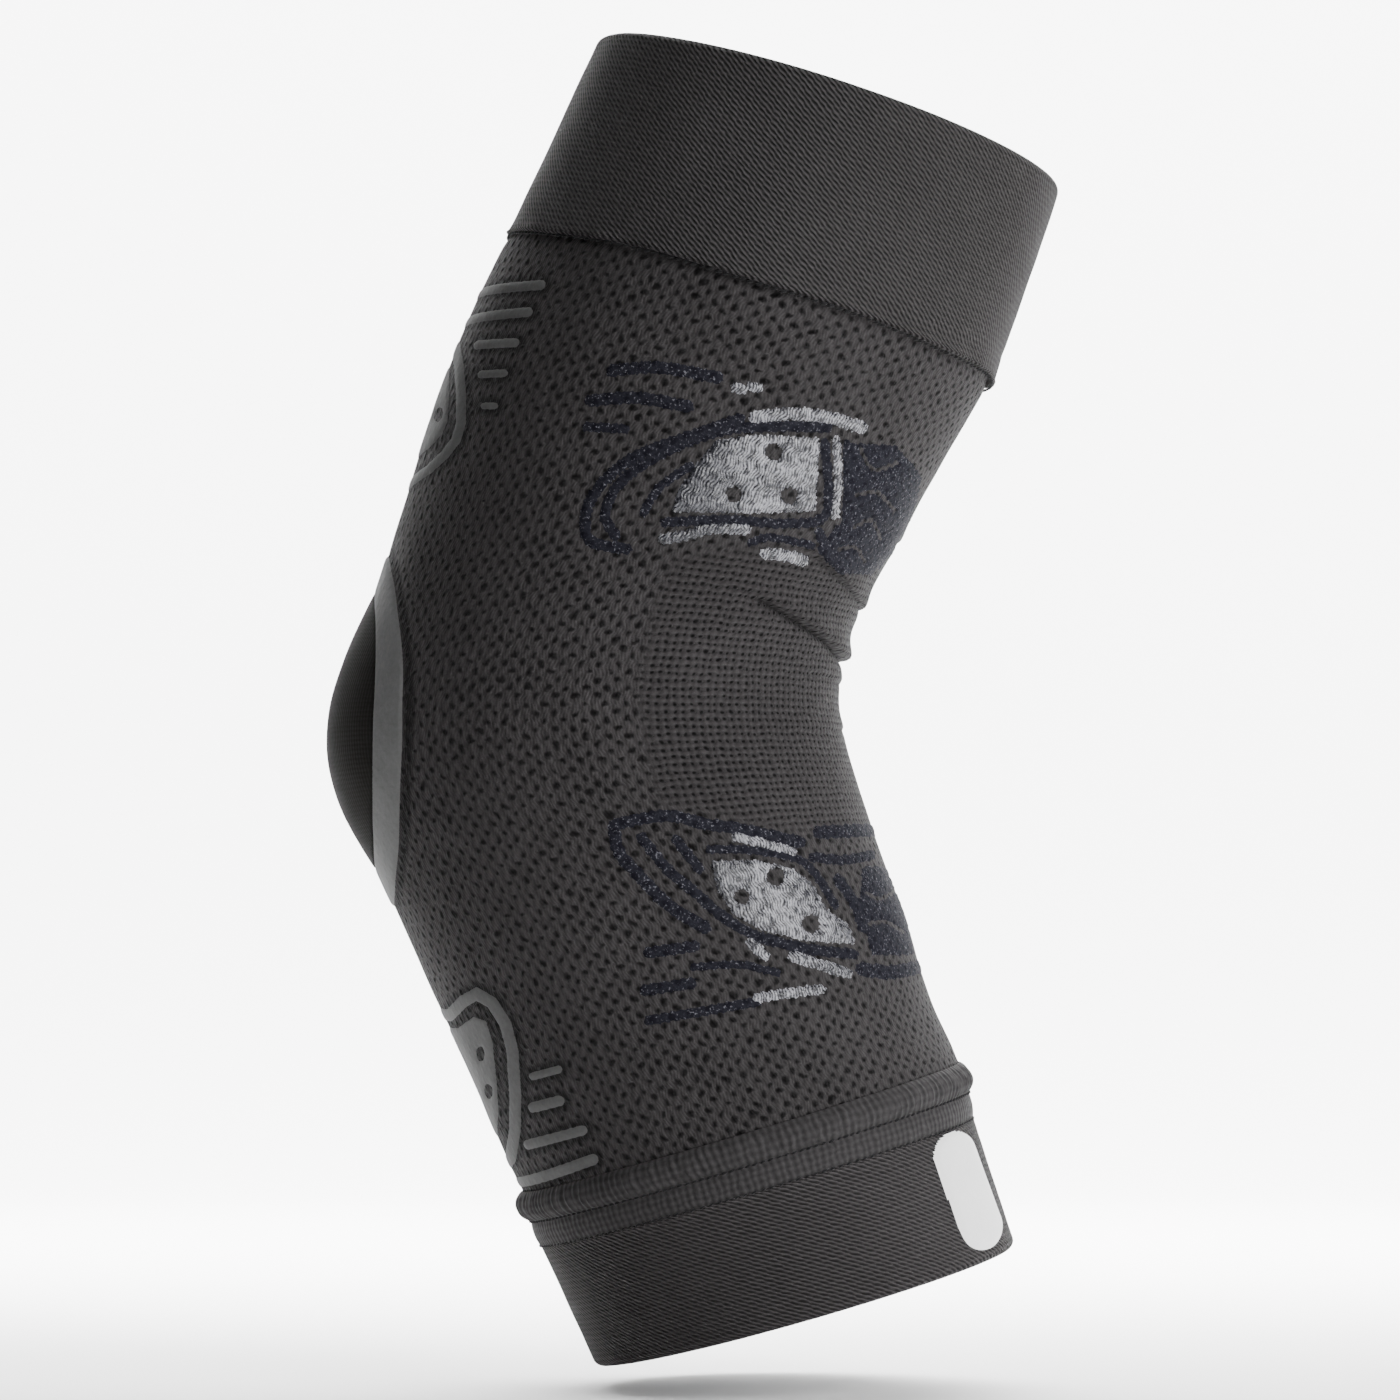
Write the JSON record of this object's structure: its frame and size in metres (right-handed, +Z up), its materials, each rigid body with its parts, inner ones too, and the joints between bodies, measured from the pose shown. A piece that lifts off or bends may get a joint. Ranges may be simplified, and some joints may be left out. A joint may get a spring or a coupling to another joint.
{
  "type": "elbow pad",
  "caption": "Pull-on knitted elbow sleeve, knitted with a bend, with folded cuffs, a padded cap over the elbow tip, a finer rib panel in the crook and raised silicone prints.",
  "frame": {"origin": "centre of the upper arm opening, on the axis of the upper cuff", "axes": "+Z up, +X toward the crook of the elbow, +Y across the arm; the XZ plane halves the sleeve; the upper arm axis leans 22.5 degrees from +Z toward +X"},
  "size_m": [0.1315, 0.0908, 0.2459],
  "materials": {
    "net_knit": "charcoal net knit of polyamide and elastane, staggered open cells",
    "rib_knit": "charcoal fine rib knit",
    "cuff_knit": "charcoal dense diagonal rib knit",
    "cap_knit": "black close plain knit",
    "seam_thread": "black linking thread",
    "elastic": "covered elastic band",
    "gel": "soft gel sheet",
    "matte_print": "grey matte silicone print",
    "gloss_print": "dark navy glossy silicone print",
    "white_patch": "white matte transfer"
  },
  "bodies": {
    "upper_arm": {"upper_cuff": "cuff_knit", "upper_cuff_elastic": "elastic", "upper_cuff_seam": "seam_thread", "upper_knit_tube": "net_knit", "elbow_knit": "net_knit", "crook_rib_panel": "rib_knit", "elbow_gel_pad": "gel", "elbow_cap": "cap_knit", "elbow_ring": "matte_print", "upper_side_print_near": "gloss_print", "upper_side_print_far": "gloss_print", "upper_rear_print": "matte_print"},
    "forearm": {"forearm_knit_tube": "net_knit", "forearm_side_print_near": "gloss_print", "forearm_side_print_far": "gloss_print", "forearm_rear_print": "matte_print", "lower_gather_roll": "net_knit", "gather_seam": "seam_thread", "lower_plain_band": "rib_knit", "lower_cuff_seam": "seam_thread", "lower_cuff": "cuff_knit", "lower_cuff_elastic": "elastic", "cuff_patch": "white_patch"}
  },
  "joints": [
    {"name": "elbow_bend", "type": "hinge", "parent": "upper_arm", "child": "forearm", "pos_m": [-0.04466, 0, -0.10782], "axis": [0, -1, 0], "range_deg": [-43, 60], "stiffness_Nm_per_rad": 0.5, "deforming": ["elbow_knit", "crook_rib_panel", "elbow_gel_pad", "elbow_cap", "elbow_ring", "upper_side_print_near", "upper_side_print_far", "forearm_side_print_near", "forearm_side_print_far"]}
  ]
}
